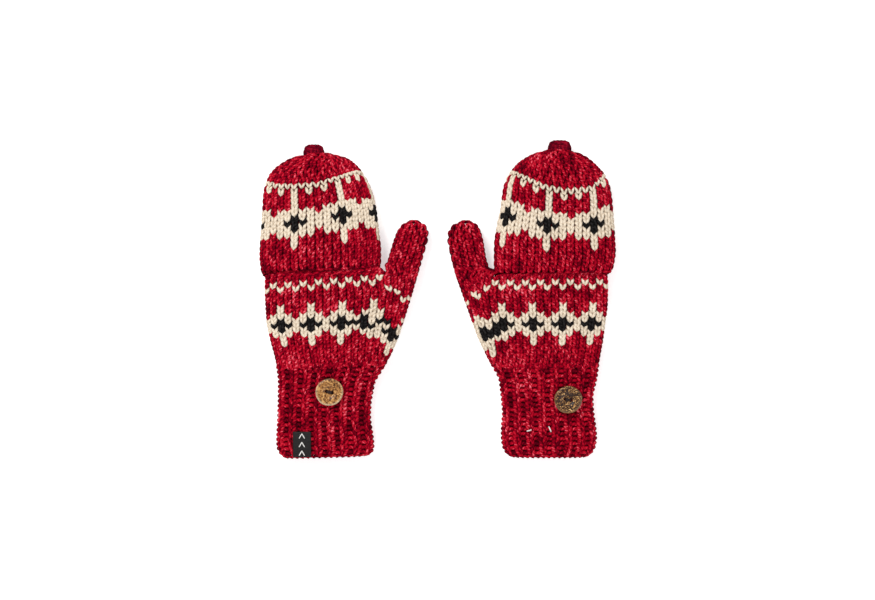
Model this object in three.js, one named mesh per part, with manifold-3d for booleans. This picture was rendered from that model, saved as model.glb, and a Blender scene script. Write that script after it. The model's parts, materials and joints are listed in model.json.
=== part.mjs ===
// A pair of hand-knitted convertible mittens, lying flat with the backs of the hands up.
// Each mitten is a fingerless glove with four half-fingers and a thumb, and a hood that is sewn across the
// knuckles. The hood turns back over the hand, where the loop at its tip reaches the button on the cuff.
// Millimetres. +Z up, fingers towards +Y, origin on the table under the middle of the pair.

import * as THREE from "three";
import { mergeVertices } from "three/addons/utils/BufferGeometryUtils.js";
import Module from "manifold-3d";

const wasm = await Module();
wasm.setup();

// ---- Driving dimensions -------------------------------------------------------------------------

const GAP = 0.35; // between pieces that touch
const WALL = 3.6; // thickness of the knitted fabric
const SECTION_SIDES = 24; // points round each tube
const ROUNDNESS = 2.5; // exponent of the tubes' superelliptic sections: 2 is an ellipse
const FAR = 400; // longer than anything here, for cutting blocks

const CUFF_TOP_Y = -55; // where ribbing ends and plain knitting starts
const HAND_HEIGHT = 21; // of the flat-lying hand
const CUFF_HEIGHT = 17;
const LIP_START_Y = 9.5; // lower edge of the hood on the palm side
const LIP_RECESS = 4.4; // how far the palm stands off the table above the hood's lip
const LIP_END_Y = 66; // where the stretchy lip becomes the closed crown
const HOOD_HEIGHT = 24;
const HOOD_SPLIT_Z = 11; // the lip is below, the back of the hood above
const HINGE_Z = 22.7; // the sewn line is just above the back of the hand
const KNUCKLE_PAST_HINGE = 4; // the hand goes on this far under the hood
const WEB = 2.4; // thickness of the web that closes the hand between the fingers
const HOOD_INNER_TOP = HOOD_HEIGHT - WALL - GAP;

const FINGER = { width: 20, pitch: 20.4, low: 4.8, wall: 2.8, sides: 16, lean: 2.2 };
const FINGER_BASE = KNUCKLE_PAST_HINGE + WEB + 2 * GAP; // past the sewn line
const FINGERS = [
  { name: "index", place: 1.5, length: 26, high: 16.6 },
  { name: "middle", place: 0.5, length: 29, high: 19 },
  { name: "ring", place: -0.5, length: 27, high: 19 },
  { name: "little", place: -1.5, length: 22, high: 16.6 },
];

const BUTTON = { radius: 11.6, thickness: 2.9, rim: 1.1, hole: 1.35, spacing: 4.6, underside: 19.1 };
const THREAD_RADIUS = 0.85;
const LOOP_RADIUS = 2.3; // of the cord of the tip loop
const LABEL = { thickness: 0.8, lift: 0.4 };

// Outlines seen from above, in the mitten's own frame: x runs from the little finger to the thumb.
// Each row is [y, little-finger edge, thumb edge].
const LEFT = {
  name: "left",
  x: -96,
  hand: [
    [-132.8, -33, 36.5], [-130, -37.5, 41], [-125, -39.8, 43.2], [-114, -39.9, 42.3], [-100, -39, 40],
    [-84, -38.6, 40.6], [-67, -38.4, 43], [-50, -40.7, 45.6], [-35, -44.8, 47.4], [-20, -48.2, 49],
    [-5, -49.2, 49.8], [8, -49.8, 49.4], [9, -49.8, 49.2], [24, -49.4, 46.6], [26, -47, 45], [42, -46, 44.5],
  ],
  hood: [
    [8, -50.4, 47], [16, -51.5, 48.2], [25, -52.8, 49], [35, -54, 49], [45, -53.8, 49], [60, -52.6, 47.1],
    [75, -51.7, 45.4], [86, -51.1, 43.3], [96, -49.8, 39.8], [106, -45.7, 34.8], [113, -39.3, 29.3],
    [119, -30, 22.3], [122, -22.5, 15.5], [124, -13, 7],
  ],
  // [y, axis x, half width]
  thumb: [
    [-72, 37.5, 4], [-60, 41, 8.5], [-45, 45.4, 12.4], [-30, 49.8, 14.4], [0, 58.7, 15], [25, 66.1, 14.9],
    [50, 73.4, 14.9], [58, 75.2, 13.7], [64, 76, 10.2], [67.6, 76.2, 4.5],
  ],
  hinge: { y: 25, tilt: 4 },
  hoodTip: 124,
  loop: { ends: [[-14.4, 126.8], [-1.7, 127.1]], top: 128.6 },
  button: { x: 5.5, y: -76.9, turn: -15 },
};

const RIGHT = {
  name: "right",
  x: 96,
  hand: [
    [-132.8, -29.5, 34], [-130, -34, 38.6], [-125, -37.2, 41.6], [-115, -38.6, 42.9], [-105, -37.6, 42.6],
    [-95, -36, 41.6], [-80, -35.2, 43], [-67, -38.6, 44.6], [-50, -40.8, 46.4], [-35, -43.6, 48],
    [-20, -45.5, 49.2], [-5, -47.7, 50], [8, -47.9, 49.4], [9, -47.9, 49.2], [20.5, -47.8, 46.6],
    [22.5, -46.6, 45], [42, -46, 44.5],
  ],
  hood: [
    [8, -48.6, 47], [14, -49.2, 47.8], [22, -50.6, 48.8], [30, -52.8, 49], [40, -54.4, 49], [50, -53.8, 48.7],
    [65, -52.9, 46.3], [76, -52, 43.5], [86, -51.2, 42.4], [96, -49.4, 41], [106, -45.3, 37], [116, -36, 28.6],
    [121, -30, 21], [125, -22, 12.5], [127.3, -14.5, 4],
  ],
  thumb: [
    [-76, 34.5, 4], [-64, 37.3, 8.5], [-48, 42.4, 12.4], [-30, 48.2, 15], [0, 57.9, 16], [22, 66, 15.6],
    [35, 69.8, 15.2], [50, 72.6, 15.6], [58, 73.3, 14.2], [64, 72.8, 10.6], [67.4, 72, 5],
  ],
  hinge: { y: 21.6, tilt: -2 },
  hoodTip: 127.3,
  loop: { ends: [[-14.2, 130.1], [0.8, 130.1]], top: 132.2 },
  button: { x: -13.4, y: -83.2, turn: 10 },
};

// Height of the knitted tubes above the table, as [y, low, high].
const HAND_PROFILE = [
  [-132.8, 1.2, 14.6], [-130, 0.4, 16], [-125, 0, CUFF_HEIGHT], [-70, 0, CUFF_HEIGHT], [-55, 0, 18.6],
  [-35, 0, 20.4], [-20, 0, HAND_HEIGHT], [8, 0, HAND_HEIGHT], [9, LIP_RECESS, HAND_HEIGHT],
];
const HOOD_PROFILE = [
  [8, 0, HOOD_HEIGHT], [96, 0, HOOD_HEIGHT], [106, 0, 22.6], [113, 0.5, 20.7], [119, 2, 18], [122, 3.6, 16.2],
  [124, 5.4, 14.2],
];
const THUMB_PROFILE = [
  [-72, 6, 13], [-60, 2.5, 16.4], [-45, 0.4, 18.4], [-30, 0, 19.4], [0, 0, 19.6], [25, 0, 18], [58, 0, 17],
  [64, 1.4, 15.4], [67.6, 5, 12],
];

// ---- Colours ------------------------------------------------------------------------------------

const red = new THREE.MeshStandardMaterial({ color: "#a80f26", roughness: 0.95, metalness: 0 });
const darkRed = new THREE.MeshStandardMaterial({ color: "#7c0c20", roughness: 0.95, metalness: 0 });
const coconut = new THREE.MeshStandardMaterial({ color: "#8a5a2b", roughness: 0.5, metalness: 0 });
const sewingThread = new THREE.MeshStandardMaterial({ color: "#2a1712", roughness: 0.8, metalness: 0 });
const wovenBlack = new THREE.MeshStandardMaterial({ color: "#17171a", roughness: 0.7, metalness: 0 });
const wovenWhite = new THREE.MeshStandardMaterial({ color: "#e9e6df", roughness: 0.8, metalness: 0 });

// ---- Solids -------------------------------------------------------------------------------------

function solidOf(geometry) {
  const bare = geometry.index ? geometry.toNonIndexed() : geometry.clone();
  bare.deleteAttribute("normal");
  bare.deleteAttribute("uv");
  const merged = mergeVertices(bare, 1e-4);
  return new wasm.Manifold(
    new wasm.Mesh({
      numProp: 3,
      vertProperties: merged.attributes.position.array,
      triVerts: new Uint32Array(merged.index.array),
    }),
  );
}

function geometryOf(solid) {
  const { vertProperties, triVerts, numProp } = solid.getMesh();
  const positions = new Float32Array((vertProperties.length / numProp) * 3);
  for (let i = 0; i < positions.length / 3; i++)
    positions.set(vertProperties.subarray(i * numProp, i * numProp + 3), i * 3);
  return new THREE.BufferGeometry()
    .setAttribute("position", new THREE.BufferAttribute(positions, 3))
    .setIndex(new THREE.BufferAttribute(triVerts, 1));
}

function block(low, high) {
  const size = high.map((h, i) => h - low[i]);
  const middle = high.map((h, i) => (h + low[i]) / 2);
  return solidOf(new THREE.BoxGeometry(...size).translate(...middle));
}

// Everything on the wrist side of the sewn line, moved towards the fingers by `past`.
function wristSide(hinge, past = 0) {
  const half = new THREE.BoxGeometry(FAR, FAR, FAR).translate(0, past - FAR / 2, 0);
  return solidOf(half.rotateZ(THREE.MathUtils.degToRad(hinge.tilt)).translate(0, hinge.y, 0));
}

// ---- Knitted tubes ------------------------------------------------------------------------------

// A value read off a table of rows at y, in straight steps.
function lookUp(rows, y, column) {
  const last = rows.length - 1;
  if (y <= rows[0][0]) return rows[0][column];
  if (y >= rows[last][0]) return rows[last][column];
  const i = rows.findIndex((row) => row[0] > y) - 1;
  const share = (y - rows[i][0]) / (rows[i + 1][0] - rows[i][0]);
  return rows[i][column] + share * (rows[i + 1][column] - rows[i][column]);
}

// One section: a superellipse that is flat where it lies on the table.
function ring({ x, y, half, low, high }, grow, sides) {
  const middle = (low + high) / 2;
  const rise = (high - low) / 2;
  return Array.from({ length: sides }, (_, k) => {
    const angle = (2 * Math.PI * k) / sides;
    const [across, up] = [Math.cos(angle), Math.sin(angle)].map(
      (v) => Math.sign(v) * Math.abs(v) ** (2 / ROUNDNESS),
    );
    const z = up < 0 ? middle + (rise * 1.14 + grow) * up : middle + (rise + grow) * up;
    return [x + across * (half + grow), y, Math.max(low - grow, z)];
  });
}

// A closed solid through sections that follow each other along +Y.
function loft(stations, grow = 0, sides = SECTION_SIDES) {
  const rings = stations.map((s) => ring(s, grow, sides));
  const centres = [rings[0], rings.at(-1)].map((r) =>
    [0, 1, 2].map((i) => r.reduce((sum, p) => sum + p[i], 0) / sides),
  );
  const points = [...rings.flat(), ...centres];
  const faces = [];
  const [start, end, lastRing] = [points.length - 2, points.length - 1, (rings.length - 1) * sides];
  for (let k = 0; k < sides; k++) {
    const next = (k + 1) % sides;
    for (let i = 0; i < lastRing; i += sides)
      faces.push([i + k, i + sides + k, i + next], [i + sides + k, i + sides + next, i + next]);
    faces.push([start, k, next], [end, lastRing + next, lastRing + k]);
  }
  const geometry = new THREE.BufferGeometry();
  geometry.setAttribute("position", new THREE.Float32BufferAttribute(points.flat(), 3));
  geometry.setIndex(faces.flat());
  return solidOf(geometry);
}

// The stations of an outline between two heights along the hand, with its own rows in between.
function stations(outline, profile, from, to) {
  const inside = [...outline, ...profile].map((row) => row[0]).filter((y) => y > from + 1 && y < to - 1);
  const ys = [from, ...new Set(inside.sort((a, b) => a - b)), to].filter(
    (y, i, all) => i === 0 || y - all[i - 1] > 0.9,
  );
  return ys.map((y) => ({
    x: (lookUp(outline, y, 1) + lookUp(outline, y, 2)) / 2,
    half: (lookUp(outline, y, 2) - lookUp(outline, y, 1)) / 2,
    y,
    low: lookUp(profile, y, 1),
    high: lookUp(profile, y, 2),
  }));
}

function thumbStations(hand, to) {
  const rows = hand.thumb.filter((row) => row[0] <= to);
  return rows.map(([y, x, half]) => ({
    x,
    y,
    half,
    low: lookUp(THUMB_PROFILE, y, 1),
    high: lookUp(THUMB_PROFILE, y, 2),
  }));
}

// The hand is lower under the hood, so that the hood's wall passes over it. It ends `past` the sewn line.
function handSolid(hand, grow, past = KNUCKLE_PAST_HINGE) {
  const from = CUFF_TOP_Y + GAP / 2;
  const full = loft(stations(hand.hand, HAND_PROFILE, from, hand.hinge.y + 20), grow);
  const overTop = block([-FAR, -FAR, HOOD_INNER_TOP + grow], [FAR, FAR, FAR]).subtract(wristSide(hand.hinge));
  return full.intersect(wristSide(hand.hinge, past + grow)).subtract(overTop);
}

function cuff(hand) {
  const outer = stations(hand.hand, HAND_PROFILE, -132.8, CUFF_TOP_Y - GAP / 2);
  return loft(outer).subtract(loft(stations(hand.hand, HAND_PROFILE, -150, -50), -WALL));
}

// A straight tube that leans like the hood does, from well inside the hand to a finger's open end.
function fingerSolid({ hinge }, { place, length, high }, grow) {
  const at = (y) => ({ x: place * FINGER.pitch - 1, y, half: FINGER.width / 2, low: FINGER.low, high });
  const tube = loft([at(-8), at(FINGER_BASE + length - grow)], grow, FINGER.sides);
  return tube.rotate(0, 0, FINGER.lean).translate(0, hinge.y, 0);
}

function palm(hand) {
  const hollow = loft(stations(hand.hand, HAND_PROFILE, CUFF_TOP_Y - 10, hand.hinge.y + 30), -WALL);
  return handSolid(hand, 0).subtract(hollow).subtract(loft(thumbStations(hand, 50), -WALL));
}

// The web between the fingers closes the end of the hand, and has an opening to each finger.
function fingerWeb(hand) {
  const base = KNUCKLE_PAST_HINGE + GAP;
  const slab = handSolid(hand, 0, base + WEB).subtract(wristSide(hand.hinge, base));
  return FINGERS.reduce((cut, one) => cut.subtract(fingerSolid(hand, one, -FINGER.wall)), slab);
}

function thumb(hand) {
  const shell = loft(thumbStations(hand, FAR)).subtract(loft(thumbStations(hand, 64.5), -WALL));
  const cuffSolid = loft(stations(hand.hand, HAND_PROFILE, -132.8, CUFF_TOP_Y + GAP), GAP);
  return shell.subtract(handSolid(hand, GAP)).subtract(cuffSolid);
}

function finger(hand, one) {
  const tube = fingerSolid(hand, one, 0).subtract(fingerSolid(hand, one, -FINGER.wall));
  return tube.subtract(wristSide(hand.hinge, FINGER_BASE));
}

// The whole pocket of the hood, before it is parted into crown and lip.
function hoodShell(hand) {
  const profile = HOOD_PROFILE.map(([y, ...z]) => [y > 96 ? y + hand.hoodTip - 124 : y, ...z]);
  const outer = loft(stations(hand.hood, profile, 8, hand.hoodTip));
  const inner = loft(stations(hand.hood, profile, 2, hand.hoodTip - WALL), -WALL);
  const hidden = handSolid(hand, GAP, FINGER_BASE);
  return outer.subtract(inner).subtract(hidden).subtract(loft(thumbStations(hand, FAR), GAP));
}

function hoodCrown(hand) {
  const lipSpace = block([-FAR, -FAR, -FAR], [FAR, LIP_END_Y, HOOD_SPLIT_Z]);
  return hoodShell(hand).subtract(lipSpace).subtract(wristSide(hand.hinge, GAP));
}

function hoodLip(hand) {
  const kept = block([-FAR, LIP_START_Y, -FAR], [FAR, LIP_END_Y - GAP, HOOD_SPLIT_Z - GAP]);
  return hoodShell(hand).intersect(kept);
}

// ---- Loop, button and labels --------------------------------------------------------------------

// An arch of cord with round ends, which stay where they are as it swings about the line between them.
function tipLoop({ ends, top }) {
  const z = HOOD_SPLIT_Z - 1.2;
  const [a, b] = ends.map(([x, y]) => new THREE.Vector3(x, y, z));
  const crest = (share) => new THREE.Vector3().lerpVectors(a, b, share).setY(top);
  const line = new THREE.CatmullRomCurve3([a, crest(0.2), crest(0.5), crest(0.8), b]);
  const section = new THREE.Shape().absarc(0, 0, LOOP_RADIUS, 0, 2 * Math.PI);
  const cord = new THREE.ExtrudeGeometry(section, { steps: 12, curveSegments: 5, extrudePath: line });
  const endBall = (p) => solidOf(new THREE.SphereGeometry(LOOP_RADIUS * 1.02, 8, 6).translate(p.x, p.y, p.z));
  return solidOf(cord).add(endBall(a)).add(endBall(b));
}

function buttonPlace({ button }, geometry) {
  return geometry.rotateZ(THREE.MathUtils.degToRad(button.turn)).translate(button.x, button.y, BUTTON.underside);
}

function buttonHoles() {
  return [-1, 1].map((side) =>
    new THREE.CylinderGeometry(BUTTON.hole, BUTTON.hole, 12, 10)
      .rotateX(Math.PI / 2)
      .translate((side * BUTTON.spacing) / 2, 0, 0),
  );
}

// A turned disc with a shallow dish in the middle and two holes through it.
function button(hand) {
  const { radius, thickness, rim } = BUTTON;
  const profile = [
    [0, 0], [radius - rim, 0], [radius, rim], [radius - 0.5, thickness - 0.5], [radius - rim, thickness],
    [5.4, thickness - 0.2], [4.2, thickness - 0.9], [0, thickness - 1],
  ];
  const disc = new THREE.LatheGeometry(profile.map((p) => new THREE.Vector2(...p)), 36).rotateX(Math.PI / 2);
  return buttonHoles().reduce(
    (cut, hole) => cut.subtract(solidOf(buttonPlace(hand, hole))),
    solidOf(buttonPlace(hand, disc)),
  );
}

// The sewing thread: up through one hole, across the dish and down through the other.
function buttonThread(hand) {
  const reach = BUTTON.spacing / 2;
  const across = BUTTON.thickness - 1 + THREAD_RADIUS + 0.3;
  const line = new THREE.CatmullRomCurve3(
    [[-reach, -1.5], [-reach, 0.4], [-reach, across - 0.9], [-reach + 0.9, across], [reach - 0.9, across],
      [reach, across - 0.9], [reach, 0.4], [reach, -1.5]].map(([x, z]) => new THREE.Vector3(x, 0, z)),
    false,
    "centripetal",
  );
  const section = new THREE.Shape().absarc(0, 0, THREAD_RADIUS, 0, 2 * Math.PI);
  const strand = new THREE.ExtrudeGeometry(section, { steps: 18, curveSegments: 4, extrudePath: line });
  return solidOf(buttonPlace(hand, strand));
}

// A woven patch that lies on the cuff: a thin skin over its surface, cut to a rectangle.
function cuffPatch(hand, low, high) {
  const around = stations(hand.hand, HAND_PROFILE, -132.8, -50);
  const skin = loft(around, LABEL.lift + LABEL.thickness).subtract(loft(around, LABEL.lift));
  return skin.intersect(block([...low, HOOD_SPLIT_Z], [...high, FAR]));
}

// The care label hangs inside the cuff, just under the back of it.
function careLabel() {
  const top = CUFF_HEIGHT - WALL - 0.9;
  return block([4, -119, top - 0.7], [20, -107, top]);
}

// ---- The pair -----------------------------------------------------------------------------------

function mitten(hand) {
  const group = new THREE.Group();
  const add = (name, solid, material) => {
    const mesh = new THREE.Mesh(geometryOf(solid), material);
    mesh.name = `${hand.name}_${name}`;
    group.add(mesh);
  };
  add("cuff", cuff(hand), red);
  add("hand", palm(hand), red);
  add("thumb", thumb(hand), red);
  add("finger_web", fingerWeb(hand), red);
  for (const one of FINGERS) add(`${one.name}_finger`, finger(hand, one), red);
  add("hood_crown", hoodCrown(hand), red);
  add("hood_lip", hoodLip(hand), red);
  add("tip_loop", tipLoop(hand.loop), darkRed);
  add("button", button(hand), coconut);
  add("button_thread", buttonThread(hand), sewingThread);
  if (hand === LEFT) {
    add("woven_label", cuffPatch(hand, [-25.3, -131.8], [-10, -110.3]), wovenBlack);
  } else {
    add("care_label", careLabel(), wovenWhite);
    add("tack_stitch_inner", cuffPatch(hand, [17.4, -110], [21, -108.4]), wovenWhite);
    add("tack_stitch_outer", cuffPatch(hand, [1, -110.2], [2.5, -106]), wovenWhite);
  }
  group.position.x = hand.x;
  return group;
}

const left = mitten(LEFT);
const right = mitten(RIGHT);
right.scale.x = -1; // the right mitten's own frame is mirrored, so that its thumb points to the left one

const pair = new THREE.Group();
pair.add(left, right);
const middle = new THREE.Box3().setFromObject(pair).getCenter(new THREE.Vector3());
pair.position.set(-middle.x, -middle.y, 0);

export default pair;
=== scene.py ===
"""The looks of a pair of knitted convertible mittens, built stitch by stitch over the CAD frame.

Each knitted tube is measured from its CAD nodes, section by section. Every stitch is two plump legs of
yarn that follow the tube's surface, in the colour that the knitting chart gives it. Lengths are in
millimetres until a mesh is made. Each mitten is worked in its own frame: x from the little finger to the
thumb, y to the fingertips.
"""

import json
import math

import bpy
import numpy as np
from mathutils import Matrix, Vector


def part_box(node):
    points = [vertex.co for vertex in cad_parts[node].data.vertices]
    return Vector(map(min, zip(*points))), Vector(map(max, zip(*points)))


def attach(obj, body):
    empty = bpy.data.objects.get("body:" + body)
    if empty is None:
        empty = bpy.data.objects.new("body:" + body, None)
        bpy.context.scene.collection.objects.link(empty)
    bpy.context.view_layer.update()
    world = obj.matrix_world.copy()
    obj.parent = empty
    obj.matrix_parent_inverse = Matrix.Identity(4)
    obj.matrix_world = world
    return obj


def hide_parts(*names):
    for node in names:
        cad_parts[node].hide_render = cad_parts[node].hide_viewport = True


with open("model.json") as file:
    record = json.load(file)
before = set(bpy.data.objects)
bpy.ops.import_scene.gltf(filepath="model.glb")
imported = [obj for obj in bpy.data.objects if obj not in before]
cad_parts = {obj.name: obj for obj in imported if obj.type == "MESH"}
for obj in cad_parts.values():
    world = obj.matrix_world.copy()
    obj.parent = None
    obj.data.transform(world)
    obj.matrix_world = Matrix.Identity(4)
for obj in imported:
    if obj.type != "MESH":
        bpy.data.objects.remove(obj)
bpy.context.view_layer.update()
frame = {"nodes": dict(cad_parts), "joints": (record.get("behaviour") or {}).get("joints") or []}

MM = 0.001
JOINTS = {joint["name"]: joint for joint in frame["joints"]}
rng = np.random.default_rng(7)

# ---- Sizes and charts ----

EXPONENT = 2.5  # of the superelliptic sections
HALF = 64  # steps over one side of a tube
PAD = 8  # steps that each side is carried on past its ends
ROW = 3.9  # height of a row on the hand
THUMB_ROW = 4.0
THUMB_PITCH = 6.3  # width of a stitch on the thumb and its gusset
THUMB_LEAN = 0.46  # how steeply the thumb's rows drop outwards
STITCH_LEAN = 0.18  # the part of that by which its stitches lean themselves
THUMB_TIP_MARGIN = 3.5  # the thumb's top row is no farther than this below the tip
THUMB_LEVEL_OFF = 30.0  # over this much below the tip the thumb's rows turn square
RIB_ROW = 4.05
RIB_TOP = -56.8
RIB_ROWS = 19
RIB_KNIT_WIDTH = 0.70  # share of a rib that its plain column takes
RIB_PURL_WIDTH = 0.44
RIB_KNIT_RADIUS = 1.44
RIB_PURL_RADIUS = 1.72
RIB_KNIT_DROP = -0.35  # the plain columns stand proud by this much
RIB_PURL_LIFT = -1.7
WRIST_Y = -131.5  # where the cuff's lining ends, just inside the edge
HAND_END_Y = 30.0  # where the hand's lining ends
HAND_COLUMNS = 32
HOOD_COLUMNS = 36
FINGER_COLUMNS = 10
FINGER_ROW = 4.0
FIRST_DOT_Y = 14.0  # the upper row of dots
THUMB_DOT_Y = 10.4  # the same row where the gusset starts
DOME_ROWS = [36, 35, 33, 30, 26, 21, 15, 9]  # stitches in each row above the hood's top cream row
FLOWER_ROW = -7  # the hood's rows, counted from the top cream one: the middle of the flowers
SEAM_ROW = -15.7  # the sewn line
LIP_EDGE_ROW = -18.6  # the edge of the lip
LIP_TURNS = (0.53, 0.97)  # the lip goes round this much of the hood, on the palm side
KNUCKLE_PAST_SEAM = 4.0  # how far the hand goes on under the hood
LOOP_ROOT = 4.5  # how far the loop's ends run down into the hood
GUSSET_FADE = 20.0  # how far below its lower end the gusset's bulge dies away
TABLE_GAP = 0.03  # the wool is pressed flat this far above the table
PURL_SHADE = 0.20  # painted shade: how much darker the sunken purl bumps are painted, as if shaded in their hollows
EDGE_SHADE = 0.7  # painted shade: how much darker the wool is painted where it turns down at the sides, away from the light
SHELL_OUT = 2.6  # how far the lining lies below the outer surface
SHELL_IN = 3.9

RED, CREAM, BLACK = 0, 1, 2
COLOUR_NAMES = ["red", "cream", "black"]
SYMBOLS = {".": RED, "o": CREAM, "x": BLACK}

# crotch: thumb and hand are one sheet up to the first y, and quite apart from the second one on.
# Row lines of the hood as (x, y) in each mitten's own frame, because the knitting is pulled out of level.
# pull says how far round the hood it is pulled sideways, as (turn, shift).
HANDS = {
    "left": {
        "sign": 1,
        "crotch": (21.0, 33.0),
        "flower": 5,
        "slopes": [(-133, 0.026), (-60, 0.035), (-20, 0.052), (14, 0.085), (30, 0.075)],
        "pull": [(0, 0), (0.153, 0), (0.319, 0.026), (0.486, 0), (0.5, 0)],
        "top_line": [(-51, 97.5), (-38, 94.0), (-26, 93.2), (-5, 95.0), (9, 99.5), (28, 107), (44, 104)],
        "flower_line": [(-53, 60.8), (-40, 61.6), (-24.5, 63.0), (17, 70.4), (30, 72), (49, 72.6)],
        # The lower band where it meets the gusset: the hand's last columns, then the gusset's.
        "corner": ["..o.", "..o.", ".ooo", "oxoo", "xxox", "oxxo", ".ooo", "..oo", "...."],
        "gusset": ["oo.o.", "..o.o", "", "", "", "...o.", "...oo", "x.oo.", "oxoo.", "xxxo.", "oxoo.",
                   "ooo..", ".o...", ".o..."],
    },
    "right": {
        "sign": -1,
        "crotch": (17.0, 27.0),
        "flower": 3,
        "slopes": [(-133, 0.0), (-60, 0.0), (14, -0.01), (30, -0.03)],
        "pull": [(0, 0), (0.097, 0.005), (0.264, 0.020), (0.431, 0.024), (0.5, 0)],
        "top_line": [(-50, 106), (-44.7, 103), (-34, 91.5), (-12.8, 88.0), (6.5, 92.4), (33.4, 106.5),
                     (44, 106)],
        "flower_line": [(-53, 65.5), (-35.5, 61.8), (4, 61.6), (40, 69.5), (49, 71)],
        "corner": ["..o.", "..o.", ".ooo", "ooxo", "oxxx", "ooxx", ".oox", "..oo", "...."],
        "gusset": ["o.o..", ".o.o.", "", "", "", "..o..", ".oo..", "ooo..", "oxoo.", "xxo..", "xxo..",
                   "ooo..", "oo...", "o....", "o...."],
    },
}


def curve_through(points, count):
    """A Catmull-Rom curve through a few points, in count even steps."""
    points = np.asarray(points, dtype=float)
    p = np.concatenate([[2 * points[0] - points[1]], points, [2 * points[-1] - points[-2]]])
    t = np.linspace(0, len(points) - 1, count)
    i = np.minimum(t.astype(int), len(points) - 2)
    f = (t - i)[:, None]
    a, b, c, d = (p[i + k] for k in range(4))
    square, cube = 2 * a - 5 * b + 4 * c - d, 3 * b - a - 3 * c + d
    return 0.5 * (2 * b + (c - a) * f + square * f ** 2 + cube * f ** 3)


# One leg of a plain stitch: (columns from the middle, rows from the middle, height, share of the yarn's
# radius).
PLAIN_LEG = curve_through([
    [0.03, -0.98, -1.9, 0.50], [0.08, -0.62, -0.75, 0.85], [0.165, -0.20, 0.10, 1.02],
    [0.265, 0.26, 0.20, 1.02], [0.355, 0.66, -0.5, 0.80], [0.43, 1.0, -1.8, 0.40],
], 9)
LEG_RADIUS = 1.36  # of the yarn that those heights are for
# A purl bump lies across its column.
PURL_BUMP = curve_through([
    [-0.60, -0.30, -1.5, 0.55], [-0.32, 0.05, 0.0, 0.92], [0.0, 0.17, 0.3, 1.0], [0.32, 0.05, 0.0, 0.92],
    [0.60, -0.30, -1.5, 0.55],
], 9)


# ---- Measuring the CAD ----

def box_mm(node):
    """The low and the high corner of a CAD node's box."""
    return [np.array(corner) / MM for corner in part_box(node)]


def triangles(names):
    """All triangles of some CAD nodes in mm, as (n, 3 corners, 3)."""
    out = []
    for name in names:
        node = frame["nodes"][name]
        mesh = node.data
        mesh.calc_loop_triangles()
        co = np.empty(len(mesh.vertices) * 3)
        mesh.vertices.foreach_get("co", co)
        index = np.empty(len(mesh.loop_triangles) * 3, dtype=np.int64)
        mesh.loop_triangles.foreach_get("vertices", index)
        world = np.array(node.matrix_world)
        co = co.reshape(-1, 3) @ world[:3, :3].T + world[:3, 3]
        out.append(co[index.reshape(-1, 3)] / MM)
    return np.concatenate(out)


def smooth(values, radius):
    """A running mean down the first axis that keeps both ends."""
    if radius < 1:
        return values
    padded = np.pad(values, [(radius, radius), (0, 0)], mode="edge")
    window = np.ones(2 * radius + 1) / (2 * radius + 1)
    return np.stack([np.convolve(column, window, "valid") for column in padded.T], 1)


def sections(names, ys, hand, radius):
    """[x low, x high, z low, z high] at each y in the mitten's own frame, held on past both ends."""
    tri = triangles(names)
    tri[:, :, 0] = (tri[:, :, 0] - hand["x"]) * hand["sign"]
    starts, ends = tri.reshape(-1, 3), tri[:, [1, 2, 0]].reshape(-1, 3)
    rows = np.full((len(ys), 4), np.nan)
    for i, y in enumerate(ys):
        crossing = (starts[:, 1] - y) * (ends[:, 1] - y) < 0
        if crossing.sum() < 3:
            continue
        a, b = starts[crossing], ends[crossing]
        p = a + (b - a) * ((y - a[:, 1]) / (b[:, 1] - a[:, 1]))[:, None]
        rows[i] = p[:, 0].min(), p[:, 0].max(), p[:, 2].min(), p[:, 2].max()
    known = ~np.isnan(rows[:, 0])
    filled = np.stack([np.interp(ys, ys[known], rows[known, k]) for k in range(4)], 1)
    return smooth(filled, radius)


# ---- Surfaces ----

def half_curves(section):
    """The upper and lower edge of one section, each from its low-x side to its high-x side."""
    x0, x1, z0, z1 = section
    angle = np.linspace(math.pi, 0, 90)
    across = np.sign(np.cos(angle)) * np.abs(np.cos(angle)) ** (2 / EXPONENT)
    up = np.abs(np.sin(angle)) ** (2 / EXPONENT)
    middle, rise = (z0 + z1) / 2, (z1 - z0) / 2
    x = (x0 + x1) / 2 + (x1 - x0) / 2 * across
    return np.stack([x, middle + rise * up], 1), np.stack([x, np.maximum(z0, middle - rise * 1.14 * up)], 1)


def length_of(curve):
    """The length of a curve through its points."""
    return np.hypot(*np.diff(curve, axis=0).T).sum()


def along(curve, distances):
    """The points of a curve at these distances from its start."""
    steps = np.concatenate([[0], np.cumsum(np.hypot(*np.diff(curve, axis=0).T))])
    return np.stack([np.interp(distances, steps, curve[:, k]) for k in (0, 1)], 1)


def side_of(curve, other, start, end, open_low, open_high):
    """Even points of a curve between two distances, with PAD more at each end: of the curve itself past an
    open border, and of the tube's other side where the tube closes."""
    step = (end - start) / HALF
    more = step * np.arange(1, PAD + 1)
    inner = along(curve, np.linspace(start, end, HALF + 1))
    before = along(curve, start - more) if open_low else along(other, more)
    after = along(curve, end + more) if open_high else along(other, length_of(other) - more)
    return np.concatenate([before[::-1], inner, after])


def closed_sides(section):
    """The upper and the lower side of a closed tube's section."""
    upper, lower = half_curves(section)
    pairs = ((upper, lower), (lower, upper))
    return np.stack([side_of(a, b, 0, length_of(a), False, False) for a, b in pairs])


def open_sides(section, borders, beyond):
    """The sides of a wide section up to its border distances, or beyond them."""
    upper, lower = half_curves(section)
    sides = []
    for a, b, border in ((upper, lower, borders[0]), (lower, upper, borders[1])):
        border = min(border, length_of(a))
        if beyond:
            sides.append(side_of(a, b, border, length_of(a), True, False))
        else:
            sides.append(side_of(a, b, 0, border, False, True))
    return np.stack(sides)


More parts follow.
